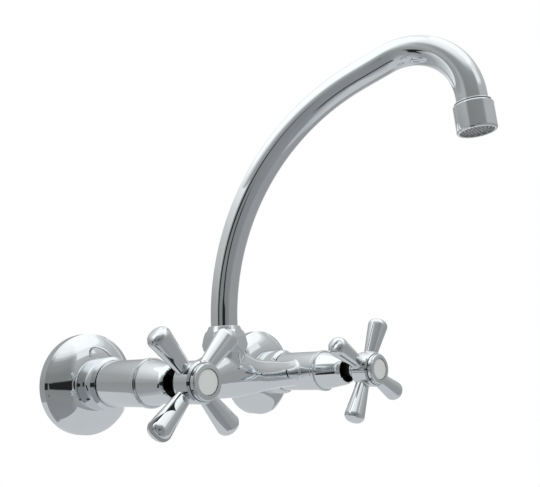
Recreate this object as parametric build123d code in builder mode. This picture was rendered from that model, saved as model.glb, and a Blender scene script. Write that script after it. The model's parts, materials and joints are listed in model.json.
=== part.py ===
from build123d import *

import os
from math import cos, pi, radians, sin

# A wall-mounted two-handle mixer tap with a high swivelling spout.
# +X runs along the wall to the right as seen from the room, +Y goes into the wall and
# +Z is up. The origin lies in the wall plane, midway between the two water inlets.
# Lengths are millimetres. Along a valve, "out" is the distance from the wall into the room.

os.makedirs("parts", exist_ok=True)

# Clearances
running_gap = 0.05
thread_gap = 0.06
slip_gap = 0.15
face_gap = 0.1

# Wall inlets
inlet_spacing = 150.0
tail_thread_radius = 10.48
tail_thread_length = 16.0
tail_thread_bevel = 1.0
union_thread_radius = 13.2
union_thread_start_out = 11.0
union_waist_radius = 12.0
union_bore_radius = 7.0

# Wall flange
flange_radius = 31.0
flange_rim_depth = 6.0
flange_bevel = 1.4
flange_depth = 16.0
flange_top_radius = 14.8
flange_top_edge = 0.4
flange_hollow = 1.6
flange_wall = 1.2
flange_collar_length = 2.4

# Union nut and what it clamps
nut_space = 1.0
nut_length = 15.6
nut_radius = 15.85
nut_back_bevel = 1.1
nut_front_bevel = 1.9
inlet_washer_thickness = 1.5
inlet_washer_radius = 12.8
ring_thickness = 1.8
ring_land = 1.7
ring_groove_depth = 1.0
ring_overhang = 2.6
ring_slit = 2.0

# Body casting
body_axis_out = 49.4
nut_to_barrel = 0.6
tail_radius = 10.0
tail_length = 8.0
barrel_radius = 13.6
barrel_length = 35.1
barrel_edge = 0.5
crossbar_drop = 0.95
crossbar_end_radius = 9.0
crossbar_swell = 4.0
crossbar_swell_half = 60.0
hump_height = 7.1
hump_half = 30.0
crossbar_half_steps = 6
crossbar_fillet = 1.2
waterway_radius = 6.0

# Valve chamber
inlet_bore_radius = 5.0
seat_back_off = 5.6
seat_rim_width = 1.6
seat_rim_height = 1.4
chamber_radius = 9.0
bonnet_thread_radius = 10.2
bonnet_thread_length = 13.1
spigot_radius = 12.3
spigot_length = 2.8

# Boss and neck that carry the spout
boss_radius = 12.6
boss_height = 16.6
boss_stock = 4.0
boss_fillet = 4.0
neck_radius = 11.2
neck_length = 4.4
spout_socket_radius = 10.0
spout_socket_depth = 15.4

# Headwork
bonnet_end_space = 0.6
bonnet_washer_thickness = 0.8
bonnet_washer_radius = 11.8
bonnet_collar_radius = 11.5
bonnet_collar_thickness = 1.6
bonnet_hex_flats = 18.0
bonnet_hex_height = 4.5
bonnet_neck_radius = 7.6
bonnet_neck_length = 4.4
bonnet_shoulder = 1.5
spindle_thread_radius = 5.25
spindle_thread_length = 19.6
spindle_radius = 4.0
rise_space = 4.2
packing_radius = 5.8
packing_height = 3.4
gland_hex_flats = 13.0
gland_hex_height = 3.0

# Jumper valve
valve_washer_radius = 6.4
valve_washer_thickness = 3.0
jumper_plate_radius = 6.8
jumper_plate_thickness = 2.0
jumper_stem_radius = 2.5
jumper_stem_length = 9.0
jumper_stem_space = 0.6
washer_screw_head_radius = 2.8
washer_screw_head_height = 1.8
washer_screw_radius = 1.5
washer_screw_grip = 1.4

# Shroud round the headwork
seam_gap = 0.3
shroud_length = 22.2
shroud_wall = 0.9
bead_radius = 14.2
bead_length = 1.9
bead_shoulder = 1.7
shroud_back_radius = 12.9
shroud_front_radius = 10.3
shroud_lip_length = 3.4
shroud_lip_radius = 9.1
shroud_mouth_radius = 8.3

# Cross handle
handle_gap = 5.4
boss_neck_radius = 5.4
boss_neck_length = 4.4
hub_radius = 11.5
hub_flare_length = 3.6
hub_length = 10.6
hub_edge = 1.0
arm_out = 10.5
arm_tip_reach = 37.3
arm_tip_radius = 7.1
arm_tip_edge = 4.3
arm_tip_dome = 1.1
arm_root_reach = 9.0
arm_root_radius = 4.2
arm_root_fillet = 0.8
arm_count = 4
left_handle_angle = 43.4
right_handle_angle = 61.3
square_size = 5.6
square_depth = 10.0
square_end_space = 0.4
hub_web = 1.9
hub_cavity_radius = 7.6
screw_slot_width = 1.0
screw_slot_depth = 0.9
handle_screw_radius = 1.95
handle_screw_length = 8.0
handle_screw_hole = 9.0
handle_screw_head_radius = 4.0
handle_screw_head_height = 2.0

# Index cap
cap_gap = 0.4
cap_radius = 10.1
cap_edge_height = 1.8
cap_face_height = 0.9
cap_face_slope = 0.3
cap_face_radius = 9.2
cap_edge_bulge = 0.2
cap_rim_width = 0.3
cap_spigot_radius = 8.4
cap_spigot_wall = 1.2
cap_spigot_length = 2.4
cap_web = 1.4
disc_radius = 6.95
disc_thickness = 1.0
disc_recess = 0.5

# Spout nut
spout_nut_flats = 27.6
spout_nut_waist_flats = 24.4
spout_nut_top_flats = 19.6
spout_nut_waist_height = 9.0
spout_nut_height = 16.0
spout_nut_foot_bevel = 1.9
spout_nut_foot_height = 7.8
spout_nut_top_radius = 10.2
spout_nut_rim_height = 2.6
spout_nut_corner_angle = 17.7
spout_nut_corner_rise = 0.5
spout_nut_corner_fillet = 1.0

# Spout
spout_angle = 10.4
tube_radius = 8.8
tube_wall = 1.0
riser_height = 33.2
long_bend_radius = 150.2
long_bend_angle = 74.0
reach_straight = 20.4
outlet_bend_radius = 38.5
outlet_tilt = 4.5
outlet_straight = 4.0
bush_flange_thickness = 1.6
bush_depth = 14.4
bush_bore_radius = 6.9
tube_in_bush = 7.2
o_ring_section = 0.9
o_ring_groove_width = 2.4
o_ring_pitch = 4.4
o_ring_first = 2.4
slip_ring_thickness = 0.8
slip_ring_margin = 0.3
nut_to_tube = 0.3

# Aerator
ferrule_grip = 5.0
ferrule_collar_height = 0.7
ferrule_collar_radius = 10.3
ferrule_thread_radius = 9.9
housing_radius = 11.25
housing_length = 16.3
housing_top_bevel = 1.2
housing_foot_bevel = 0.6
housing_foot_height = 0.8
housing_lip_height = 1.4
housing_lip_radius = 9.5
insert_radius = 9.8
insert_height = 3.6
insert_hole_radius = 0.6
insert_hole_pitch = 1.9
insert_hole_rings = 4
screen_thickness = 0.8
screen_hole_radius = 0.6
screen_hole_pitch = 2.0
screen_hole_rings = 3
aerator_washer_thickness = 1.6
aerator_washer_bore = 7.6

# Places along a valve, as distances out from the wall
nut_back = flange_depth + nut_space
nut_front = nut_back + nut_length
barrel_back = nut_front + nut_to_barrel
tail_end = barrel_back - tail_length
union_front = tail_end - inlet_washer_thickness
ring_back = tail_end + ring_land
ring_front = ring_back + ring_thickness
barrel_front = barrel_back + barrel_length
spigot_front = barrel_front + spigot_length
chamber_front = spigot_front - bonnet_thread_length
seat_out = body_axis_out - seat_back_off
bonnet_back = chamber_front + bonnet_end_space
collar_back = spigot_front + bonnet_washer_thickness
hex_back = collar_back + bonnet_collar_thickness
hex_front = hex_back + bonnet_hex_height
bonnet_front = hex_front + bonnet_neck_length
washer_back = seat_out + face_gap
washer_front = washer_back + valve_washer_thickness
plate_front = washer_front + jumper_plate_thickness
spindle_back = plate_front + face_gap
thread_front = spindle_back + spindle_thread_length
shoulder_out = thread_front + rise_space
packing_back = shoulder_out + bonnet_shoulder
gland_back = packing_back + packing_height
shroud_back = barrel_front + seam_gap
mouth_out = shroud_back + shroud_length
handle_back = mouth_out + handle_gap
boss_neck_front = handle_back + boss_neck_length
hub_back = boss_neck_front + hub_flare_length
hub_front = hub_back + hub_length
arm_centre_out = handle_back + arm_out
screw_seat_out = handle_back + square_depth + hub_web
cap_back = hub_front + cap_gap
cap_spigot_back = cap_back - cap_spigot_length
cap_edge_out = cap_back + cap_edge_height
cap_front = cap_edge_out + cap_face_height + cap_face_slope
disc_back = cap_front - disc_recess - disc_thickness

# Heights up the spout
neck_top = boss_height + neck_length
socket_floor = neck_top - spout_socket_depth
bush_bottom = neck_top - bush_depth
bush_flange_bottom = neck_top + face_gap
bush_top = bush_flange_bottom + bush_flange_thickness
slip_ring_bottom = bush_top + face_gap
slip_ring_top = slip_ring_bottom + slip_ring_thickness
tube_bottom = bush_top - tube_in_bush
nut_foot = boss_height + face_gap
nut_waist = nut_foot + spout_nut_waist_height
nut_top = nut_foot + spout_nut_height

# The outlet at the spout's end. Its pieces are placed by the distance up the tilted outlet.
long_turn = radians(long_bend_angle)
tilt = radians(outlet_tilt)
outlet_reach = (
    long_bend_radius * (1 - cos(long_turn))
    + reach_straight * sin(long_turn)
    + outlet_bend_radius * (cos(long_turn) + cos(tilt))
    + outlet_straight * sin(tilt)
)
outlet_height = (
    riser_height
    + long_bend_radius * sin(long_turn)
    + reach_straight * cos(long_turn)
    + outlet_bend_radius * (sin(tilt) - sin(long_turn))
    - outlet_straight * cos(tilt)
)
spout_direction = Vector(sin(radians(spout_angle)), -cos(radians(spout_angle)), 0)
spout_normal = Vector(-cos(radians(spout_angle)), -sin(radians(spout_angle)), 0)
outlet_up = Vector(0, 0, cos(tilt)) - spout_direction * sin(tilt)
outlet_point = Vector(0, -body_axis_out, outlet_height) + spout_direction * outlet_reach
housing_top = -ferrule_collar_height
housing_bottom = housing_top - housing_length
insert_bottom = housing_bottom + housing_lip_height
insert_top = insert_bottom + insert_height
screen_top = insert_top + screen_thickness
ferrule_bottom = screen_top + aerator_washer_thickness

half_spacing = inlet_spacing / 2
valve_centres = {"left": -half_spacing, "right": half_spacing}
handle_angles = {"left": left_handle_angle, "right": right_handle_angle}


def profile_plane(centre):
    # holds a valve's axis: x is the radius and y the distance out from the wall
    return Plane(origin=(centre, 0, 0), x_dir=(1, 0, 0), z_dir=(0, 0, -1))


def valve_axis(centre):
    return Axis((centre, 0, 0), (0, -1, 0))


def across(centre, out):
    # square to a valve's axis, facing the room: x is +X and y is +Z
    return Plane(origin=(centre, -out, 0), x_dir=(1, 0, 0), z_dir=(0, -1, 0))


def level(height):
    # level plane centred on the spout's axis
    return Plane(origin=(0, -body_axis_out, height))


def outlet_level(height):
    return Plane(origin=outlet_point + outlet_up * height, x_dir=spout_normal, z_dir=outlet_up)


riser_profile = Plane(origin=(0, -body_axis_out, 0), x_dir=(1, 0, 0), z_dir=(0, -1, 0))
riser_axis = Axis((0, -body_axis_out, 0), (0, 0, 1))
outlet_profile = Plane(origin=outlet_point, x_dir=spout_normal, z_dir=spout_normal.cross(outlet_up))
outlet_axis = Axis(outlet_point, outlet_up)


def bell(distance, half):
    # 1 at the middle, falling smoothly to 0 at the half length
    if abs(distance) >= half:
        return 0.0
    return (1 + cos(pi * distance / half)) / 2


def keep(piece, name):
    piece.part.label = name
    export_step(piece.part, f"parts/{name}.step")


# Body casting: crossbar with a hump, two valve barrels and the boss that carries the spout
crossbar_half = half_spacing - barrel_radius / 2

with BuildPart() as mixer_body:
    for step in range(-crossbar_half_steps, crossbar_half_steps + 1):
        along = crossbar_half * step / crossbar_half_steps
        thickness = crossbar_end_radius + crossbar_swell * bell(along, crossbar_swell_half)
        hump = hump_height * bell(along, hump_half)
        middle = (along, -body_axis_out, hump / 2 - crossbar_drop)
        with BuildSketch(Plane(origin=middle, x_dir=(0, 1, 0), z_dir=(1, 0, 0))):
            Ellipse(thickness, thickness + hump / 2)
    loft()
    for centre in valve_centres.values():
        with BuildSketch(profile_plane(centre)):
            with BuildLine():
                Polyline(
                    (0, barrel_back),
                    (barrel_radius - barrel_edge, barrel_back),
                    (barrel_radius, barrel_back + barrel_edge),
                    (barrel_radius, barrel_front - barrel_edge),
                    (barrel_radius - barrel_edge, barrel_front),
                    (0, barrel_front),
                    close=True,
                )
            make_face()
        revolve(axis=valve_axis(centre))
        fillet(mixer_body.edges(Select.NEW).filter_by(GeomType.BSPLINE), crossbar_fillet)
    with BuildSketch(level(-crossbar_drop)):
        Circle(boss_radius)
    extrude(amount=boss_height + boss_stock + crossbar_drop)
    fillet(mixer_body.edges(Select.NEW).filter_by(GeomType.BSPLINE), boss_fillet)
    split(bisect_by=level(boss_height), keep=Keep.BOTTOM)
    with BuildSketch(level(boss_height)):
        Circle(neck_radius)
    extrude(amount=neck_length)
    for centre in valve_centres.values():
        # tail for the union nut and spigot for the shroud
        with BuildSketch(across(centre, tail_end)):
            Circle(tail_radius)
        extrude(amount=tail_length + barrel_edge)
        with BuildSketch(across(centre, barrel_front - barrel_edge)):
            Circle(spigot_radius)
        extrude(amount=spigot_length + barrel_edge)
    for centre in valve_centres.values():
        # inlet bore, raised valve seat, chamber and the bonnet's thread
        with BuildSketch(profile_plane(centre)):
            with BuildLine():
                Polyline(
                    (0, tail_end),
                    (inlet_bore_radius, tail_end),
                    (inlet_bore_radius, seat_out),
                    (inlet_bore_radius + seat_rim_width, seat_out),
                    (inlet_bore_radius + seat_rim_width, seat_out - seat_rim_height),
                    (chamber_radius, seat_out - seat_rim_height),
                    (chamber_radius, chamber_front),
                    (bonnet_thread_radius, chamber_front),
                    (bonnet_thread_radius, spigot_front),
                    (0, spigot_front),
                    close=True,
                )
            make_face()
        revolve(axis=valve_axis(centre), mode=Mode.SUBTRACT)
        # groove for the clamp ring
        with BuildSketch(across(centre, ring_back)):
            Circle(tail_radius)
            Circle(tail_radius - ring_groove_depth, mode=Mode.SUBTRACT)
        extrude(amount=ring_thickness, mode=Mode.SUBTRACT)
    with BuildSketch(Plane(origin=(-half_spacing, -body_axis_out, -crossbar_drop), z_dir=(1, 0, 0))):
        Circle(waterway_radius)
    extrude(amount=inlet_spacing, mode=Mode.SUBTRACT)
    with BuildSketch(level(-crossbar_drop)):
        Circle(bush_bore_radius)
    extrude(amount=socket_floor + crossbar_drop, mode=Mode.SUBTRACT)
    with BuildSketch(level(socket_floor)):
        Circle(spout_socket_radius)
    extrude(amount=spout_socket_depth, mode=Mode.SUBTRACT)
keep(mixer_body, "mixer_body")

for side, centre in valve_centres.items():
    # Straight union, screwed into the wall fitting
    with BuildPart() as inlet_union:
        with BuildSketch(profile_plane(centre)):
            with BuildLine():
                Polyline(
                    (union_bore_radius, -tail_thread_length),
                    (tail_thread_radius - tail_thread_bevel, -tail_thread_length),
                    (tail_thread_radius, tail_thread_bevel - tail_thread_length),
                    (tail_thread_radius, 0),
                    (union_waist_radius, 0),
                    (union_waist_radius, union_thread_start_out),
                    (union_thread_radius, union_thread_start_out),
                    (union_thread_radius, union_front),
                    (union_bore_radius, union_front),
                    close=True,
                )
            make_face()
        revolve(axis=valve_axis(centre))
    keep(inlet_union, f"{side}_inlet_union")

    # Spun cover plate against the wall, screwed along the union's thread
    with BuildPart() as wall_flange:
        with BuildSketch(profile_plane(centre)):
            with BuildLine():
                rim = Polyline(
                    (flange_radius - flange_wall, 0),
                    (flange_radius, 0),
                    (flange_radius, flange_rim_depth),
                    (flange_radius - flange_bevel, flange_rim_depth + flange_bevel),
                )
                cone = SagittaArc(
                    rim @ 1, (flange_top_radius, flange_depth - flange_top_edge), -flange_hollow
                )
                collar = Polyline(
                    cone @ 1,
                    (flange_top_radius - flange_top_edge, flange_depth),
                    (union_thread_radius + thread_gap, flange_depth),
                    (union_thread_radius + thread_gap, flange_depth - flange_collar_length),
                    (flange_top_radius, flange_depth - flange_collar_length),
                )
                inside = SagittaArc(
                    collar @ 1,
                    (flange_radius - flange_bevel - flange_wall / 2, flange_rim_depth + flange_bevel - flange_wall),
                    flange_hollow,
                )
                Polyline(
                    inside @ 1,
                    (flange_radius - flange_wall, flange_rim_depth - flange_wall / 2),
                    (flange_radius - flange_wall, 0),
                )
            make_face()
        revolve(axis=valve_axis(centre))
    keep(wall_flange, f"{side}_wall_flange")

    # Fibre washer between the union and the body's tail
    with BuildPart() as inlet_washer:
        with BuildSketch(across(centre, union_front)):
            Circle(inlet_washer_radius)
            Circle(union_bore_radius, mode=Mode.SUBTRACT)
        extrude(amount=inlet_washer_thickness)
    keep(inlet_washer, f"{side}_inlet_washer")

    # Split ring in the tail's groove, which the union nut's lip pulls on
    with BuildPart() as clamp_ring:
        with BuildSketch(across(centre, ring_back)):
            Circle(tail_radius + ring_overhang)
            Circle(tail_radius - ring_groove_depth + running_gap, mode=Mode.SUBTRACT)
            with Locations((0, -tail_radius)):
                Rectangle(ring_slit, tail_radius, mode=Mode.SUBTRACT)
        extrude(amount=ring_thickness)
    keep(clamp_ring, f"{side}_clamp_ring")

    # Round union nut with an inner lip at its front
    with BuildPart() as union_nut:
        with BuildSketch(profile_plane(centre)):
            with BuildLine():
                Polyline(
                    (union_thread_radius + thread_gap, nut_back),
                    (nut_radius - nut_back_bevel, nut_back),
                    (nut_radius, nut_back + nut_back_bevel),
                    (nut_radius, nut_front - nut_front_bevel),
                    (nut_radius - nut_front_bevel, nut_front),
                    (tail_radius + slip_gap, nut_front),
                    (tail_radius + slip_gap, ring_front),
                    (union_thread_radius + thread_gap, ring_front),
                    close=True,
                )
            make_face()
        revolve(axis=valve_axis(centre))
    keep(union_nut, f"{side}_union_nut")

    # Headwork: screws into the barrel and guides the spindle
    with BuildPart() as bonnet:
        with BuildSketch(across(centre, bonnet_back)):
            Circle(bonnet_thread_radius - thread_gap)
        extrude(amount=collar_back - bonnet_back)
        with BuildSketch(across(centre, collar_back)):
            Circle(bonnet_collar_radius)
        extrude(amount=bonnet_collar_thickness)
        with BuildSketch(across(centre, hex_back)):
            RegularPolygon(bonnet_hex_flats / 2, 6, major_radius=False)
        extrude(amount=bonnet_hex_height)
        with BuildSketch(across(centre, hex_front)):
            Circle(bonnet_neck_radius)
        extrude(amount=bonnet_neck_length)
        with BuildSketch(across(centre, bonnet_back)):
            Circle(spindle_thread_radius + thread_gap)
        extrude(amount=shoulder_out - bonnet_back, mode=Mode.SUBTRACT)
        with BuildSketch(across(centre, shoulder_out)):
            Circle(spindle_radius + running_gap)
        extrude(amount=bonnet_shoulder, mode=Mode.SUBTRACT)
        with BuildSketch(across(centre, packing_back)):
            Circle(packing_radius)
        extrude(amount=bonnet_front - packing_back, mode=Mode.SUBTRACT)
    keep(bonnet, f"{side}_bonnet")

    # Fibre washer under the bonnet's collar
    with BuildPart() as bonnet_washer:
        with BuildSketch(across(centre, spigot_front)):
            Circle(bonnet_washer_radius)
            Circle(bonnet_thread_radius, mode=Mode.SUBTRACT)
        extrude(amount=bonnet_washer_thickness)
    keep(bonnet_washer, f"{side}_bonnet_washer")

    # Packing round the spindle
    with BuildPart() as packing:
        with BuildSketch(across(centre, packing_back)):
            Circle(packing_radius)
            Circle(spindle_radius + running_gap, mode=Mode.SUBTRACT)
        extrude(amount=packing_height)
    keep(packing, f"{side}_packing")

    # Gland nut that presses the packing down
    with BuildPart() as gland_nut:
        with BuildSketch(across(centre, gland_back)):
            Circle(packing_radius - thread_gap)
        extrude(amount=bonnet_front - gland_back)
        with BuildSketch(across(centre, bonnet_front)):
            RegularPolygon(gland_hex_flats / 2, 6, major_radius=False)
        extrude(amount=gland_hex_height)
        with BuildSketch(across(centre, gland_back)):
            Circle(spindle_radius + running_gap)
        extrude(amount=bonnet_front + gland_hex_height - gland_back, mode=Mode.SUBTRACT)
    keep(gland_nut, f"{side}_gland_nut")

    # Tapered sleeve that hides the headwork and rests on the spigot
    sleeve_back = shroud_back + bead_length + bead_shoulder
    lip_back = mouth_out - shroud_lip_length
    with BuildPart() as shroud:
        with BuildSketch(profile_plane(centre)):
            with BuildLine():
                bead = Polyline(
                    (spigot_radius + slip_gap, shroud_back),
                    (bead_radius, shroud_back),
                    (bead_radius, shroud_back + bead_length),
                )
                shoulder = JernArc(bead @ 1, (-1, 1), bead_shoulder, 45)
                sleeve = Line((shroud_back_radius, sleeve_back), (shroud_front_radius, lip_back))
                Line(shoulder @ 1, sleeve @ 0)
                lip = TangentArc(sleeve @ 1, (shroud_lip_radius, mouth_out), tangent=sleeve % 1)
                Polyline(
                    lip @ 1,
                    (shroud_mouth_radius, mouth_out),
                    (shroud_mouth_radius, mouth_out - shroud_wall),
                    (shroud_front_radius - shroud_wall, lip_back),
                    (shroud_back_radius - shroud_wall, sleeve_back),
                    (shroud_back_radius - shroud_wall, spigot_front),
                    (spigot_radius + slip_gap, spigot_front),
                    (spigot_radius + slip_gap, shroud_back),
                )
            make_face()
        revolve(axis=valve_axis(centre))
    keep(shroud, f"{side}_shroud")

    # Jumper: a plate on a stem that slides in the spindle
    with BuildPart() as jumper:
        with BuildSketch(across(centre, washer_front)):
            Circle(jumper_plate_radius)
        extrude(amount=jumper_plate_thickness)
        with BuildSketch(across(centre, plate_front)):
            Circle(jumper_stem_radius)
        extrude(amount=jumper_stem_length)
        with BuildSketch(across(centre, washer_front)):
            Circle(washer_screw_radius + running_gap)
        extrude(amount=washer_screw_grip, mode=Mode.SUBTRACT)
    keep(jumper, f"{side}_jumper")

    # Rubber washer on the jumper's plate
    with BuildPart() as valve_washer:
        with BuildSketch(across(centre, washer_back)):
            Circle(valve_washer_radius)
            Circle(washer_screw_radius + running_gap, mode=Mode.SUBTRACT)
        extrude(amount=valve_washer_thickness)
    keep(valve_washer, f"{side}_valve_washer")

    # Screw that holds the rubber washer
    with BuildPart() as washer_screw:
        with BuildSketch(across(centre, washer_back - washer_screw_head_height)):
            Circle(washer_screw_head_radius)
        extrude(amount=washer_screw_head_height)
        with BuildSketch(across(centre, washer_back)):
            Circle(washer_screw_radius)
        extrude(amount=valve_washer_thickness + washer_screw_grip)
        with BuildSketch(across(centre, washer_back - washer_screw_head_height)):
            Rectangle(screw_slot_width, 2 * washer_screw_head_radius)
        extrude(amount=screw_slot_depth, mode=Mode.SUBTRACT)
    keep(washer_screw, f"{side}_washer_screw")

    # Spindle: thread, round shaft and a square end for the handle
    angle = handle_angles[side]
    with BuildPart() as spindle:
        with BuildSketch(across(centre, spindle_back)):
            Circle(spindle_thread_radius)
        extrude(amount=spindle_thread_length)
        with BuildSketch(across(centre, thread_front)):
            Circle(spindle_radius)
        extrude(amount=handle_back - thread_front)
        with BuildSketch(across(centre, handle_back)):
            Rectangle(square_size, square_size, rotation=angle)
        extrude(amount=square_depth - square_end_space)
        with BuildSketch(across(centre, spindle_back)):
            Circle(jumper_stem_radius + running_gap)
        extrude(amount=jumper_stem_length + jumper_stem_space, mode=Mode.SUBTRACT)
        with BuildSketch(across(centre, screw_seat_out - handle_screw_hole)):
            Circle(handle_screw_radius + running_gap)
        extrude(amount=handle_screw_hole, mode=Mode.SUBTRACT)
    keep(spindle, f"{side}_spindle")

    # Cross handle: neck, hub and four club arms
    arm_middle = (centre, -arm_centre_out, 0)
    with BuildPart() as handle:
        with BuildSketch(profile_plane(centre)):
            with BuildLine():
                neck = Polyline(
                    (0, handle_back),
                    (boss_neck_radius, handle_back),
                    (boss_neck_radius, boss_neck_front),
                )
                flare = TangentArc((hub_radius, hub_back), neck @ 1, tangent=(0, -1))
                Polyline(
                    flare @ 0,
                    (hub_radius, hub_front - hub_edge),
                    (hub_radius - hub_edge, hub_front),
                    (0, hub_front),
                    (0, handle_back),
                )
            make_face()
        revolve(axis=valve_axis(centre))
        for arm in range(arm_count):
            turn = radians(angle + 360 * arm / arm_count)
            arm_direction = (cos(turn), 0, sin(turn))
            with BuildSketch(Plane(origin=arm_middle, x_dir=arm_direction, z_dir=(0, -1, 0))) as arm_sketch:
                with BuildLine():
                    root = Polyline((0, 0), (0, arm_root_radius), (arm_root_reach, arm_root_radius))
                    tip = Line(root @ 1, (arm_tip_reach - arm_tip_dome, arm_tip_radius))
                    TangentArc((arm_tip_reach, 0), tip @ 1, tangent=(0, 1))
                    Line((arm_tip_reach, 0), (0, 0))
                make_face()
                fillet(arm_sketch.vertices().sort_by(Axis.Y)[-1], arm_tip_edge)
            revolve(axis=Axis(arm_middle, arm_direction))
        fillet(handle.edges().filter_by(GeomType.BSPLINE), arm_root_fillet)
        with BuildSketch(across(centre, handle_back)):
            Rectangle(square_size + 2 * running_gap, square_size + 2 * running_gap, rotation=angle)
        extrude(amount=square_depth, mode=Mode.SUBTRACT)
        with BuildSketch(across(centre, handle_back)):
            Circle(handle_screw_radius + slip_gap)
        extrude(amount=hub_front - handle_back, mode=Mode.SUBTRACT)
        with BuildSketch(across(centre, screw_seat_out)):
            Circle(hub_cavity_radius)
        extrude(amount=hub_front - screw_seat_out, mode=Mode.SUBTRACT)
        with BuildSketch(across(centre, cap_spigot_back)):
            Circle(cap_spigot_radius + running_gap)
        extrude(amount=hub_front - cap_spigot_back, mode=Mode.SUBTRACT)
    keep(handle, f"{side}_handle")

    # Screw that holds the handle on the spindle
    with BuildPart() as handle_screw:
        with BuildSketch(across(centre, screw_seat_out - handle_screw_length)):
            Circle(handle_screw_radius)
        extrude(amount=handle_screw_length)
        with BuildSketch(across(centre, screw_seat_out)):
            Circle(handle_screw_head_radius)
        extrude(amount=handle_screw_head_height)
        with BuildSketch(across(centre, screw_seat_out + handle_screw_head_height - screw_slot_depth)):
            Rectangle(screw_slot_width, 2 * handle_screw_head_radius)
        extrude(amount=screw_slot_depth, mode=Mode.SUBTRACT)
    keep(handle_screw, f"{side}_handle_screw")

    # Domed index cap pushed into the hub
    with BuildPart() as index_cap:
        with BuildSketch(profile_plane(centre)):
            with BuildLine():
                plug = Polyline(
                    (cap_spigot_radius - cap_spigot_wall, disc_back - cap_web),
                    (cap_spigot_radius - cap_spigot_wall, cap_spigot_back),
                    (cap_spigot_radius, cap_spigot_back),
                    (cap_spigot_radius, cap_back),
                    (cap_radius, cap_back),
                    (cap_radius, cap_edge_out),
                )
                rim_radius = disc_radius + running_gap
                shoulder = SagittaArc(plug @ 1, (cap_face_radius, cap_edge_out + cap_face_height), cap_edge_bulge)
                Polyline(
                    shoulder @ 1,
                    (rim_radius + cap_rim_width, cap_front),
                    (rim_radius, cap_front),
                    (rim_radius, disc_back),
                    (0, disc_back),
                    (0, disc_back - cap_web),
                    plug @ 0,
                )
            make_face()
        revolve(axis=valve_axis(centre))
    keep(index_cap, f"{side}_index_cap")

    # White index disc, left bare
    with BuildPart() as index_disc:
        with BuildSketch(across(centre, disc_back)):
            Circle(disc_radius)
        extrude(amount=disc_thickness)
    keep(index_disc, f"{side}_index_disc")

# Tapered hexagon nut that holds the spout down, wider below its waist
nut_corner_radius = spout_nut_flats / 2 / cos(radians(30))
nut_top_corner = spout_nut_top_flats / 2 / cos(radians(30))


def hexagon(flats):
    return RegularPolygon(flats / 2, 6, major_radius=False, rotation=spout_nut_corner_angle)


with BuildPart() as spout_nut:
    with BuildSketch(level(nut_foot)):
        hexagon(spout_nut_flats)
    with BuildSketch(level(nut_waist)):
        hexagon(spout_nut_waist_flats)
    loft()
    with BuildSketch(level(nut_waist)):
        hexagon(spout_nut_waist_flats)
    with BuildSketch(level(nut_top)):
        hexagon(spout_nut_top_flats)
    loft()
    corners = [edge for edge in spout_nut.edges() if abs(edge.tangent_at(0).Z) > spout_nut_corner_rise]
    fillet(corners, spout_nut_corner_fillet)
    with BuildSketch(riser_profile):
        with BuildLine():
            Polyline(
                (0, nut_foot),
                (nut_corner_radius - spout_nut_foot_bevel, nut_foot),
                (nut_corner_radius, nut_foot + spout_nut_foot_height),
                (nut_corner_radius, nut_waist),
                (nut_top_corner, nut_top - spout_nut_rim_height),
                (spout_nut_top_radius, nut_top),
                (0, nut_top),
                close=True,
            )
        make_face()
    revolve(axis=riser_axis, mode=Mode.INTERSECT)
    with BuildSketch(level(nut_foot)):
        Circle(neck_radius + thread_gap)
    extrude(amount=slip_ring_top - nut_foot, mode=Mode.SUBTRACT)
    with BuildSketch(level(slip_ring_top)):
        Circle(tube_radius + nut_to_tube)
    extrude(amount=nut_top - slip_ring_top, mode=Mode.SUBTRACT)
keep(spout_nut, "spout_nut")

# Bush at the foot of the tube, which turns in the boss
with BuildPart() as spout_bush:
    with BuildSketch(level(bush_bottom)):
        Circle(spout_socket_radius - running_gap)
    extrude(amount=bush_flange_bottom - bush_bottom)
    with BuildSketch(level(bush_flange_bottom)):
        Circle(neck_radius - slip_gap)
    extrude(amount=bush_flange_thickness)
    with BuildSketch(level(bush_bottom)):
        Circle(bush_bore_radius)
    extrude(amount=bush_top - bush_bottom, mode=Mode.SUBTRACT)
    with BuildSketch(level(tube_bottom)):
        Circle(tube_radius + running_gap)
    extrude(amount=tube_in_bush, mode=Mode.SUBTRACT)
    for ring in range(2):
        groove_bottom = bush_bottom + o_ring_first + ring * o_ring_pitch - o_ring_groove_width / 2
        with BuildSketch(level(groove_bottom)):
            Circle(spout_socket_radius)
            Circle(spout_socket_radius - running_gap - 2 * o_ring_section, mode=Mode.SUBTRACT)
        extrude(amount=o_ring_groove_width, mode=Mode.SUBTRACT)
keep(spout_bush, "spout_bush")

# Seals in the bush's grooves
o_ring_heights = {
    "lower_o_ring": bush_bottom + o_ring_first,
    "upper_o_ring": bush_bottom + o_ring_first + o_ring_pitch,
}
for name, height in o_ring_heights.items():
    with BuildPart() as o_ring:
        with BuildSketch(riser_profile):
            with Locations((spout_socket_radius - running_gap - o_ring_section, height)):
                Circle(o_ring_section)
        revolve(axis=riser_axis)
    keep(o_ring, name)

# Slip ring between the bush's flange and the nut
with BuildPart() as slip_ring:
    with BuildSketch(level(slip_ring_bottom)):
        Circle(neck_radius - slip_gap)
        Circle(tube_radius + slip_ring_margin, mode=Mode.SUBTRACT)
    extrude(amount=slip_ring_thickness)
keep(slip_ring, "slip_ring")

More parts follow.
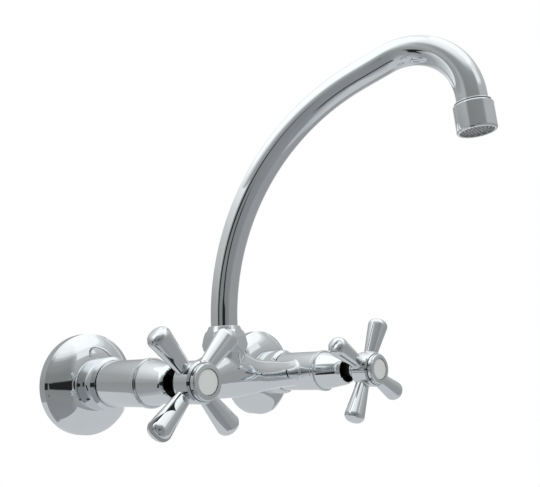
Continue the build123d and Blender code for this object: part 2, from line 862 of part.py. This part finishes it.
# Bent spout tube
spout_plane = Plane(origin=(0, -body_axis_out, 0), x_dir=spout_direction, z_dir=spout_normal)
with BuildPart() as spout_tube:
    with BuildLine(spout_plane):
        riser = Line((0, tube_bottom), (0, riser_height))
        long_bend = JernArc(riser @ 1, riser % 1, long_bend_radius, -long_bend_angle)
        reach = PolarLine(long_bend @ 1, reach_straight, direction=long_bend % 1)
        outlet_bend = JernArc(reach @ 1, reach % 1, outlet_bend_radius, long_bend_angle + outlet_tilt - 180)
        PolarLine(outlet_bend @ 1, outlet_straight + ferrule_grip, direction=outlet_bend % 1)
    with BuildSketch(level(tube_bottom)):
        Circle(tube_radius)
        Circle(tube_radius - tube_wall, mode=Mode.SUBTRACT)
    sweep()
keep(spout_tube, "spout_tube")

# Threaded ferrule brazed round the tube's end
with BuildPart() as aerator_ferrule:
    with BuildSketch(outlet_level(housing_top)):
        Circle(ferrule_collar_radius)
    extrude(amount=ferrule_collar_height)
    with BuildSketch(outlet_level(ferrule_bottom)):
        Circle(ferrule_thread_radius)
    extrude(amount=housing_top - ferrule_bottom)
    with BuildSketch(outlet_level(ferrule_bottom)):
        Circle(tube_radius - tube_wall)
    extrude(amount=-ferrule_bottom, mode=Mode.SUBTRACT)
    with BuildSketch(outlet_level(-ferrule_grip)):
        Circle(tube_radius + running_gap)
    extrude(amount=ferrule_grip, mode=Mode.SUBTRACT)
keep(aerator_ferrule, "aerator_ferrule")

# Aerator housing screwed on the ferrule
with BuildPart() as aerator_housing:
    with BuildSketch(outlet_profile):
        with BuildLine():
            Polyline(
                (ferrule_thread_radius + thread_gap, housing_top),
                (housing_radius - housing_top_bevel, housing_top),
                (housing_radius, housing_top - housing_top_bevel),
                (housing_radius, housing_bottom + housing_foot_height),
                (housing_radius - housing_foot_bevel, housing_bottom),
                (housing_lip_radius, housing_bottom),
                (housing_lip_radius, insert_bottom),
                (ferrule_thread_radius + thread_gap, insert_bottom),
                close=True,
            )
        make_face()
    revolve(axis=outlet_axis)
keep(aerator_housing, "aerator_housing")

# Washer between the ferrule and the aerator's screen
with BuildPart() as aerator_washer:
    with BuildSketch(outlet_level(screen_top)):
        Circle(ferrule_thread_radius)
        Circle(aerator_washer_bore, mode=Mode.SUBTRACT)
    extrude(amount=aerator_washer_thickness)
keep(aerator_washer, "aerator_washer")

# Flow straightener, with holes in rings
with BuildPart() as aerator_insert:
    with BuildSketch(outlet_level(insert_bottom)):
        Circle(insert_radius)
        Circle(insert_hole_radius, mode=Mode.SUBTRACT)
        for ring in range(1, insert_hole_rings + 1):
            with PolarLocations(ring * insert_hole_pitch, 6 * ring):
                Circle(insert_hole_radius, mode=Mode.SUBTRACT)
    extrude(amount=insert_height)
keep(aerator_insert, "aerator_insert")

# Screen above the straightener
with BuildPart() as aerator_screen:
    with BuildSketch(outlet_level(insert_top)):
        Circle(insert_radius)
        Circle(screen_hole_radius, mode=Mode.SUBTRACT)
        for ring in range(1, screen_hole_rings + 1):
            with PolarLocations(ring * screen_hole_pitch, 6 * ring):
                Circle(screen_hole_radius, mode=Mode.SUBTRACT)
    extrude(amount=screen_thickness)
keep(aerator_screen, "aerator_screen")
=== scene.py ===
import json
from math import cos, radians, sin

import bmesh
import bpy
from mathutils import Matrix, Vector

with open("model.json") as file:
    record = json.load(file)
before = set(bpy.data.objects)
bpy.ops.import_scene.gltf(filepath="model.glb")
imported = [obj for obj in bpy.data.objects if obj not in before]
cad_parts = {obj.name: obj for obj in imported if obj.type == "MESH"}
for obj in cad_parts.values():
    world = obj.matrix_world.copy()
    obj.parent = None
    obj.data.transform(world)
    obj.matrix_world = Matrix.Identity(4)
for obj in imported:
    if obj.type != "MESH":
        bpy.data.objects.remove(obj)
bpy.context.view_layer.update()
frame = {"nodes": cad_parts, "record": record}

scene = bpy.context.scene
scene.view_settings.view_transform = "Standard"

# Lengths are in metres, angles in degrees. Azimuth 0 points out of the wall and 90 along +X, and
# height is above the horizon.
MICRON = 0.000001

# Camera, fitted to the photo with the inlets 150 mm apart
VIEW_AZIMUTH = -46.011
VIEW_ELEVATION = -8.332
VIEW_ROLL = -2.703
CAMERA_PLACE = Vector((-0.341061, -0.424036, 0.012259))
FOCAL_PIXELS = 764.0
IMAGE_WIDTH = 540
SENSOR_WIDTH_MM = 36.0
NEAREST_SEEN = 0.01
FARTHEST_SEEN = 50.0


def add_camera():
    azimuth = radians(VIEW_AZIMUTH)
    elevation = radians(VIEW_ELEVATION)
    roll = radians(VIEW_ROLL)
    back = Vector((sin(azimuth) * cos(elevation), -cos(azimuth) * cos(elevation), sin(elevation)))
    level_right = Vector((cos(azimuth), sin(azimuth), 0))
    level_up = back.cross(level_right)
    right = cos(roll) * level_right + sin(roll) * level_up
    up = -sin(roll) * level_right + cos(roll) * level_up
    data = bpy.data.cameras.new("camera")
    data.sensor_width = SENSOR_WIDTH_MM
    data.lens = FOCAL_PIXELS * SENSOR_WIDTH_MM / IMAGE_WIDTH
    data.clip_start = NEAREST_SEEN
    data.clip_end = FARTHEST_SEEN
    camera = bpy.data.objects.new("camera", data)
    scene.collection.objects.link(camera)
    turn = Matrix((right, up, back)).transposed().to_4x4()
    camera.matrix_world = Matrix.Translation(CAMERA_PLACE) @ turn
    scene.camera = camera


add_camera()

CREVICE_SHADE_SAMPLES = 16
BEVEL_SAMPLES = 8


class Nodes:
    """A short way to write a node tree."""

    def __init__(self, tree):
        self.tree = tree
        tree.nodes.clear()

    def add(self, kind, **values):
        node = self.tree.nodes.new(kind)
        for name, value in values.items():
            setattr(node, name, value)
        return node

    def link(self, source, target):
        self.tree.links.new(source, target)

    def math(self, operation, first, second=None):
        node = self.add("ShaderNodeMath", operation=operation)
        for socket, value in zip(node.inputs, (first, second)):
            if value is None:
                continue
            if isinstance(value, (int, float)):
                socket.default_value = value
            else:
                self.link(value, socket)
        return node.outputs[0]

    def vector(self, operation, vector, other=None):
        """A vector node's outputs."""
        node = self.add("ShaderNodeVectorMath", operation=operation)
        self.link(vector, node.inputs[0])
        if other is not None:
            node.inputs[1].default_value = other
        return node.outputs

    def place(self):
        return self.add("ShaderNodeTexCoord").outputs["Object"]

    def height(self, vector):
        """The vector's Z."""
        axes = self.add("ShaderNodeSeparateXYZ")
        self.link(vector, axes.inputs[0])
        return axes.outputs["Z"]

    def noise(self, place, scale, detail):
        node = self.add("ShaderNodeTexNoise")
        self.link(place, node.inputs["Vector"])
        node.inputs["Scale"].default_value = scale
        node.inputs["Detail"].default_value = detail
        return node.outputs["Fac"]

    def painted_crevice_shade(self, distance, colour, dark, limits):
        """The colour, with painted shade: it goes dark where other surfaces close in from all
        sides.
        """
        node = self.add("ShaderNodeAmbientOcclusion", samples=CREVICE_SHADE_SAMPLES)
        node.inputs["Distance"].default_value = distance
        return self.mix(self.range(node.outputs["AO"], *limits), dark, colour)

    def bump(self, height, depth):
        node = self.add("ShaderNodeBump")
        node.inputs["Strength"].default_value = 1.0
        node.inputs["Distance"].default_value = depth
        self.link(height, node.inputs["Height"])
        return node

    def range(self, value, low, high):
        """0 at low and 1 at high, smoothly; low may be the larger."""
        node = self.add("ShaderNodeMapRange", interpolation_type="SMOOTHSTEP")
        self.link(value, node.inputs["Value"])
        node.inputs["From Min"].default_value = low
        node.inputs["From Max"].default_value = high
        return node.outputs["Result"]

    def rescale(self, value, source, target):
        """The value, moved in proportion from the source limits to the target's."""
        node = self.add("ShaderNodeMapRange")
        self.link(value, node.inputs["Value"])
        node.inputs["From Min"].default_value, node.inputs["From Max"].default_value = source
        node.inputs["To Min"].default_value, node.inputs["To Max"].default_value = target
        return node.outputs[0]

    def mix(self, factor, first, second, blend="MIX"):
        node = self.add("ShaderNodeMix", data_type="RGBA", blend_type=blend)
        sockets = (node.inputs[0], node.inputs[6], node.inputs[7])
        for socket, value in zip(sockets, (factor, first, second)):
            if isinstance(value, (int, float)):
                socket.default_value = value
            elif isinstance(value, tuple):
                socket.default_value = (*value, 1)
            else:
                self.link(value, socket)
        return node.outputs[2]

    def ramp(self, factor, stops, interpolation="LINEAR"):
        node = self.add("ShaderNodeValToRGB")
        node.color_ramp.interpolation = interpolation
        elements = node.color_ramp.elements
        while len(elements) > 1:
            elements.remove(elements[-1])
        elements[0].position = stops[0][0]
        elements[0].color = (*stops[0][1], 1)
        for place, colour in stops[1:]:
            elements.new(place).color = (*colour, 1)
        self.link(factor, node.inputs[0])
        return node.outputs[0]

    def mix_shaders(self, factor, first, second):
        node = self.add("ShaderNodeMixShader")
        self.link(factor, node.inputs[0])
        self.link(first.outputs[0], node.inputs[1])
        self.link(second.outputs[0], node.inputs[2])
        return node

    def add_shaders(self, first, second):
        node = self.add("ShaderNodeAddShader")
        self.link(first.outputs[0], node.inputs[0])
        self.link(second.outputs[0], node.inputs[1])
        return node

    def finish(self, shader, kind="ShaderNodeOutputMaterial"):
        self.link(shader.outputs[0], self.add(kind).inputs["Surface"])


def grey(value):
    return (value, value, value)


def new_material(name):
    material = bpy.data.materials.new(name)
    material.use_nodes = True
    return material, Nodes(material.node_tree)


def new_object(name, mesh, material):
    thing = bpy.data.objects.new(name, mesh)
    mesh.materials.append(material)
    scene.collection.objects.link(thing)
    return thing


# The light that falls on the tap, and the white background
SOFT_LIGHT = 0.95
WHITE = 1.0


def background_rays(n):
    """1 for the rays that see the background: the camera's, the mirrored and the see-through."""
    path = n.add("ShaderNodeLightPath")
    seen = n.math("ADD", path.outputs["Is Camera Ray"], path.outputs["Is Glossy Ray"])
    return n.math("MINIMUM", n.math("ADD", seen, path.outputs["Is Transmission Ray"]), 1.0)


def make_world():
    world = bpy.data.worlds.new("studio")
    scene.world = world
    world.use_nodes = True
    n = Nodes(world.node_tree)
    soft_light = n.add("ShaderNodeBackground")
    soft_light.inputs["Color"].default_value = (*grey(SOFT_LIGHT), 1)
    white = n.add("ShaderNodeBackground")
    white.inputs["Color"].default_value = (*grey(WHITE), 1)
    seen = n.mix_shaders(background_rays(n), soft_light, white)
    n.finish(seen, "ShaderNodeOutputWorld")


make_world()


# The studio floor, far below a tap that hangs on a wall. It takes the tap's shadow.
FLOOR_DROP = 1.0
FLOOR_RADIUS = 4.0
FLOOR_SIDES = 96
FLOOR_COLOUR = (0.80, 0.80, 0.82)
FLOOR_DARKER = tuple(part * 0.97 for part in FLOOR_COLOUR)
FLOOR_GRAIN = 14.0
FLOOR_GRAIN_DETAIL = 4.0
FLOOR_GRAIN_LIMITS = (0.3, 0.7)
FLOOR_GLOW = 0.3


def add_floor():
    mesh = bpy.data.meshes.new("studio_floor")
    shape = bmesh.new()
    bmesh.ops.create_circle(shape, cap_ends=True, segments=FLOOR_SIDES, radius=FLOOR_RADIUS)
    shape.to_mesh(mesh)
    shape.free()
    material, n = new_material("pale_floor")
    speckle = n.noise(n.place(), FLOOR_GRAIN, FLOOR_GRAIN_DETAIL)
    ground = n.add("ShaderNodeBsdfDiffuse")
    colour = n.mix(n.range(speckle, *FLOOR_GRAIN_LIMITS), FLOOR_COLOUR, FLOOR_DARKER)
    n.link(colour, ground.inputs["Color"])
    glow = n.add("ShaderNodeEmission")
    glow.inputs["Color"].default_value = (*grey(WHITE), 1)
    n.link(n.math("MULTIPLY", background_rays(n), FLOOR_GLOW), glow.inputs["Strength"])
    n.finish(n.add_shaders(ground, glow))
    floor = new_object("studio_floor", mesh, material)
    floor.location.z = -FLOOR_DROP
    # The mirrors see the room's own lower half
    floor.visible_glossy = False


add_floor()


def only_mirrored(board):
    """The board stands outside the picture: only mirrors see it."""
    for sight in ("camera", "diffuse", "transmission", "volume_scatter", "shadow"):
        setattr(board, f"visible_{sight}", False)


# The room that the chrome mirrors, worked out from how the photo's own reflections run. Each side
# of it is a list of heights with the tone there, where 1 is the white of the background.
RIGHT_ROOM = [
    (-90, 0.60), (-64, 0.56), (-58, 0.37), (-25, 0.36), (0, 0.36), (12, 0.42), (24, 0.50),
    (38, 0.60), (44, 0.80), (52, 1.15), (90, 1.25),
]
NEAR_ROOM = [
    (-90, 0.58), (-76, 0.50), (-66, 0.31), (-20, 0.28), (0, 0.25), (14, 0.25), (30, 0.31),
    (40, 0.36), (45, 0.55), (52, 0.88), (62, 1.05), (90, 1.2),
]
BACK_ROOM = [
    (-90, 0.58), (-50, 0.56), (-40, 0.48), (-30, 0.37), (2, 0.33), (12, 0.37), (18, 0.50),
    (24, 0.80), (32, 1.2), (90, 1.25),
]
FAR_ROOM = [(-90, 0.50), (-45, 0.55), (-20, 0.74), (-5, 0.95), (90, 1.0)]
# Where each other side takes over from the right-hand one: its azimuth, and how far to either side
# of that it is whole and how far it reaches
SECTORS = [(NEAR_ROOM, (-50, 36, 58)), (BACK_ROOM, (-154, 42, 56)), (FAR_ROOM, (130, 9, 22))]
# The room is open behind the tap, as the camera sees it, so the chrome mirrors the white background
# there. It opens between the sill's two heights.
OPENING = (130, 9, 22)
OPENING_SILL = (-20, -5)
# Patches in the room, as (azimuth, lean, half width, lowest, highest, soft edge, tone). The lean is
# the azimuth that the patch moves for each degree of height. The first is a window and the others
# are dark strips.
PATCHES = [
    (20, 0.0, 20, 28, 52, 5, 0.95),
    (-89, 0.0, 6.5, -7, 10, 2, 0.02),
    (-45, 1.1, 7.0, -20, 4, 2, 0.02),
    (-45, 0.0, 13, -3.5, 6.5, 2, 0.02),
    (-108, 0.45, 7.5, -22, -1, 2, 0.02),
    (-85, 0.0, 21, -61, -50, 3, 0.04),
]
# The lower half is slightly blue
FLOOR_TINT = (0.97, 0.975, 1.02)
TINT_HEIGHTS = (-6.0, -30.0)
ROOM_RADIUS = 40.0
ROOM_SIDES = 64
ROOM_RINGS = 32


def facing(azimuth):
    """The level direction at that azimuth."""
    return (sin(radians(azimuth)), -cos(radians(azimuth)), 0.0)


def room_side(n, height, stops):
    """The tone at that height on one side of the room."""
    share_of_turn = n.math("DIVIDE", n.math("ADD", height, 90.0), 180.0)
    tones = [((angle + 90) / 180, grey(tone)) for angle, tone in stops]
    return n.ramp(share_of_turn, tones, "EASE")


def sector_share(n, level_way, azimuth, whole, reach):
    """1 near the azimuth and 0 away from it."""
    along = n.vector("DOT_PRODUCT", level_way, facing(azimuth))["Value"]
    return n.range(along, cos(radians(reach)), cos(radians(whole)))


def patch_share(n, level_way, height, patch):
    """1 inside the patch and 0 outside it."""
    azimuth, lean, half_width, lowest, highest, soft = patch
    ahead = n.vector("DOT_PRODUCT", level_way, facing(azimuth))["Value"]
    aside = n.vector("DOT_PRODUCT", level_way, facing(azimuth + 90))["Value"]
    turn = n.math("DEGREES", n.math("ARCTAN2", aside, ahead))
    turn = n.math("ABSOLUTE", n.math("SUBTRACT", turn, n.math("MULTIPLY", height, lean)))
    inside = n.range(turn, half_width, half_width - soft)
    above = n.range(height, lowest, lowest + soft)
    below = n.range(height, highest, highest - soft)
    return n.math("MULTIPLY", n.math("MULTIPLY", inside, above), below)


def add_room():
    mesh = bpy.data.meshes.new("studio_room")
    shape = bmesh.new()
    bmesh.ops.create_uvsphere(
        shape, u_segments=ROOM_SIDES, v_segments=ROOM_RINGS, radius=ROOM_RADIUS
    )
    shape.to_mesh(mesh)
    shape.free()
    material, n = new_material("studio_room")
    direction = n.vector("NORMALIZE", n.place())[0]
    height = n.math("DEGREES", n.math("ARCSINE", n.height(direction)))
    level_way = n.vector("NORMALIZE", n.vector("MULTIPLY", direction, (1, 1, 0))[0])[0]
    room = room_side(n, height, RIGHT_ROOM)
    for stops, sector in SECTORS:
        room = n.mix(sector_share(n, level_way, *sector), room, room_side(n, height, stops))
    for *patch, tone in PATCHES:
        room = n.mix(patch_share(n, level_way, height, patch), room, grey(tone))
    tint = n.mix(n.range(height, *TINT_HEIGHTS), grey(1.0), FLOOR_TINT)
    glow = n.add("ShaderNodeEmission")
    n.link(n.mix(1.0, room, tint, "MULTIPLY"), glow.inputs["Color"])
    behind = sector_share(n, level_way, *OPENING)
    opened = n.math("MULTIPLY", behind, n.range(height, *OPENING_SILL))
    n.finish(n.mix_shaders(opened, glow, n.add("ShaderNodeBsdfTransparent")))
    only_mirrored(new_object("studio_room", mesh, material))


add_room()


# Boards near the tap: the pale one that it hangs over, the grey one behind it, and the dark slit
# that the lens looks through. Their tones run from the lowest corner to the highest.
LOW_BOARD = [(-0.073, -0.168), (0.190, -0.168), (0.190, 0.220), (-0.220, 0.220)]
LOW_BOARD_HEIGHT = -0.088
LOW_BOARD_TONES = [(0.0, 0.62), (1.0, 0.62)]
LOW_BOARD_TINT = (0.98, 0.985, 1.02)
BACK_BOARD = [(-0.60, 0.07), (0.60, 0.07)]
BACK_BOARD_BOTTOM = 0.02
BACK_BOARD_TOP = 0.200
BACK_BOARD_TONES = [(0.0, 0.37), (0.25, 0.41), (0.44, 0.55), (0.67, 0.66), (1.0, 0.95)]
SLIT_BOARD = [(-0.212, -0.053), (-0.092, -0.112)]
SLIT_BOTTOM = -0.050
SLIT_TOP = 0.011
SLIT_TONES = [(0.0, 0.29), (0.58, 0.26), (0.62, 0.02), (0.95, 0.02), (1.0, 0.10)]


def level_corners(foot, height):
    return [(x, y, height) for x, y in foot]


def upright_corners(foot, bottom, top):
    (x0, y0), (x1, y1) = foot
    return [(x0, y0, bottom), (x1, y1, bottom), (x1, y1, top), (x0, y0, top)]


def add_board(name, corners, tones, tint=grey(1.0)):
    mesh = bpy.data.meshes.new(name)
    mesh.from_pydata(corners, [], [tuple(range(len(corners)))])
    material, n = new_material(name)
    height = n.height(n.add("ShaderNodeTexCoord").outputs["Generated"])
    colours = [(share, tuple(tone * part for part in tint)) for share, tone in tones]
    glow = n.add("ShaderNodeEmission")
    n.link(n.ramp(height, colours), glow.inputs["Color"])
    n.finish(glow)
    only_mirrored(new_object(name, mesh, material))


add_board(
    "low_board", level_corners(LOW_BOARD, LOW_BOARD_HEIGHT), LOW_BOARD_TONES, LOW_BOARD_TINT
)
add_board(
    "back_board", upright_corners(BACK_BOARD, BACK_BOARD_BOTTOM, BACK_BOARD_TOP), BACK_BOARD_TONES
)
add_board("slit_board", upright_corners(SLIT_BOARD, SLIT_BOTTOM, SLIT_TOP), SLIT_TONES)


# Polished plate
CHROME_COLOUR = (0.80, 0.84, 0.858)
CHROME_SMEARED = (0.775, 0.815, 0.832)
SMEAR_SCALE = 45.0
SMEAR_DETAIL = 3.0
SMEAR_COLOUR_LIMITS = (0.35, 0.7)
SMEAR_GLOSS_LIMITS = (0.3, 0.7)
SMEAR_ROUGHER = 1.8
WAVE_DETAIL = 2.0

# Painted shade: the colour goes near black where surfaces close in, as shade would make it. Its
# colour, how near they are, and how closed in they are where it is whole and where it ends
CREVICE_SHADE_COLOUR = (0.012, 0.011, 0.010)
CHROME_SHADE_REACH = 0.004
CHROME_SHADE_LIMITS = (0.22, 0.55)
SOLID_SHADE_REACH = 0.008
SOLID_SHADE_LIMITS = (0.25, 0.6)
DISC_SHADE_REACH = 0.0012
DISC_SHADE_LIMITS = (0.55, 0.9)

# The grain of the other materials
GRAIN_DETAIL = 4.0
GRAIN_LIMITS = (0.35, 0.65)


def chrome(name, roughness, wave_scale, wave_depth, stretch=(1, 1, 1), softened=0.0):
    """Nearly a mirror, with faint smears and the slight waves left by polishing."""
    material, n = new_material(name)
    place = n.place()
    stretched = n.add("ShaderNodeMapping")
    n.link(place, stretched.inputs["Vector"])
    stretched.inputs["Scale"].default_value = stretch
    smears = n.noise(place, SMEAR_SCALE, SMEAR_DETAIL)
    waves = n.noise(stretched.outputs[0], wave_scale, WAVE_DETAIL)
    shader = n.add("ShaderNodeBsdfPrincipled")
    shader.inputs["Metallic"].default_value = 1.0
    plate = n.mix(n.range(smears, *SMEAR_COLOUR_LIMITS), CHROME_COLOUR, CHROME_SMEARED)
    # Painted shade: the plate goes near black in crevices, gaps and mouths
    colour = n.painted_crevice_shade(CHROME_SHADE_REACH, plate, CREVICE_SHADE_COLOUR, CHROME_SHADE_LIMITS)
    n.link(colour, shader.inputs["Base Color"])
    rough = n.rescale(smears, SMEAR_GLOSS_LIMITS, (roughness, roughness * SMEAR_ROUGHER))
    n.link(rough, shader.inputs["Roughness"])
    bump = n.bump(waves, wave_depth)
    if softened:
        edge = n.add("ShaderNodeBevel", samples=BEVEL_SAMPLES)
        edge.inputs["Radius"].default_value = softened
        n.link(edge.outputs[0], bump.inputs["Normal"])
    n.link(bump.outputs[0], shader.inputs["Normal"])
    n.finish(shader)
    return material


def solid(
    name, colour, darker, roughness, grain, depth, metallic=0.0,
    reach=SOLID_SHADE_REACH, limits=SOLID_SHADE_LIMITS,
):
    """A plain material with a fine grain in its colour and surface."""
    material, n = new_material(name)
    spots = n.noise(n.place(), grain, GRAIN_DETAIL)
    shader = n.add("ShaderNodeBsdfPrincipled")
    shader.inputs["Metallic"].default_value = metallic
    shader.inputs["Roughness"].default_value = roughness
    grained = n.mix(n.range(spots, *GRAIN_LIMITS), colour, darker)
    # Painted shade: the colour goes near black in crevices, gaps and mouths
    n.link(n.painted_crevice_shade(reach, grained, CREVICE_SHADE_COLOUR, limits), shader.inputs["Base Color"])
    n.link(n.bump(spots, depth).outputs[0], shader.inputs["Normal"])
    n.finish(shader)
    return material


# Chrome by slot: roughness, waves to the metre, their depth, and how they run or how far the
# edges are softened
CHROMES = {
    "body_chrome": dict(
        roughness=0.014, wave_scale=60.0, wave_depth=2.0 * MICRON, softened=0.0015
    ),
    "flange_chrome": dict(roughness=0.014, wave_scale=50.0, wave_depth=2.0 * MICRON),
    "nut_chrome": dict(
        roughness=0.014, wave_scale=80.0, wave_depth=1.5 * MICRON, softened=0.0006
    ),
    "shroud_chrome": dict(roughness=0.016, wave_scale=80.0, wave_depth=1.5 * MICRON),
    "handle_chrome": dict(roughness=0.022, wave_scale=90.0, wave_depth=2.0 * MICRON),
    "cap_chrome": dict(roughness=0.03, wave_scale=90.0, wave_depth=1.5 * MICRON),
    "tube_chrome": dict(
        roughness=0.016, wave_scale=60.0, wave_depth=1.5 * MICRON, stretch=(1, 1, 0.15)
    ),
}
# The other slots: two colours that the grain runs between, roughness, grains to the metre and depth
SOLIDS = {
    "raw_brass": dict(
        colour=(0.75, 0.56, 0.27), darker=(0.66, 0.48, 0.21), metallic=1.0,
        roughness=0.28, grain=900.0, depth=10 * MICRON,
    ),
    "stainless": dict(
        colour=(0.55, 0.55, 0.54), darker=(0.48, 0.48, 0.47), metallic=1.0,
        roughness=0.30, grain=1500.0, depth=10 * MICRON,
    ),
    "seal_rubber": dict(
        colour=(0.025, 0.025, 0.026), darker=(0.035, 0.034, 0.033),
        roughness=0.65, grain=1200.0, depth=20 * MICRON,
    ),
    "fibre": dict(
        colour=(0.40, 0.11, 0.07), darker=(0.30, 0.08, 0.05),
        roughness=0.75, grain=1400.0, depth=30 * MICRON,
    ),
    "white_plastic": dict(
        colour=(0.36, 0.37, 0.37), darker=(0.31, 0.32, 0.32),
        roughness=0.45, grain=600.0, depth=10 * MICRON,
    ),
    "white_disc": dict(
        colour=(0.63, 0.65, 0.63), darker=(0.60, 0.62, 0.60),
        roughness=0.35, grain=1500.0, depth=10 * MICRON,
        # Painted shade: a dark ring round the disc's edge, where the cap's wall closes in
        reach=DISC_SHADE_REACH, limits=DISC_SHADE_LIMITS,
    ),
}

materials = {name: chrome(name, **looks) for name, looks in CHROMES.items()}
materials |= {name: solid(name, **looks) for name, looks in SOLIDS.items()}

# Painted shade: the headwork's brass is coloured near black, as the shade inside the shroud's mouth
# makes it look
SHADED_HEADWORK = ("bonnet", "gland_nut", "spindle")
shaded_brass = solid(
    "shaded_brass", colour=(0.055, 0.045, 0.030), darker=(0.030, 0.025, 0.018), metallic=1.0,
    roughness=0.5, grain=900.0, depth=10 * MICRON,
)

slots = {part["node"]: part["material_slot"] for part in frame["record"]["subparts"]}
for name, node in frame["nodes"].items():
    node.data.materials.clear()
    node.data.materials.append(shaded_brass if name.endswith(SHADED_HEADWORK) else materials[slots[name]])
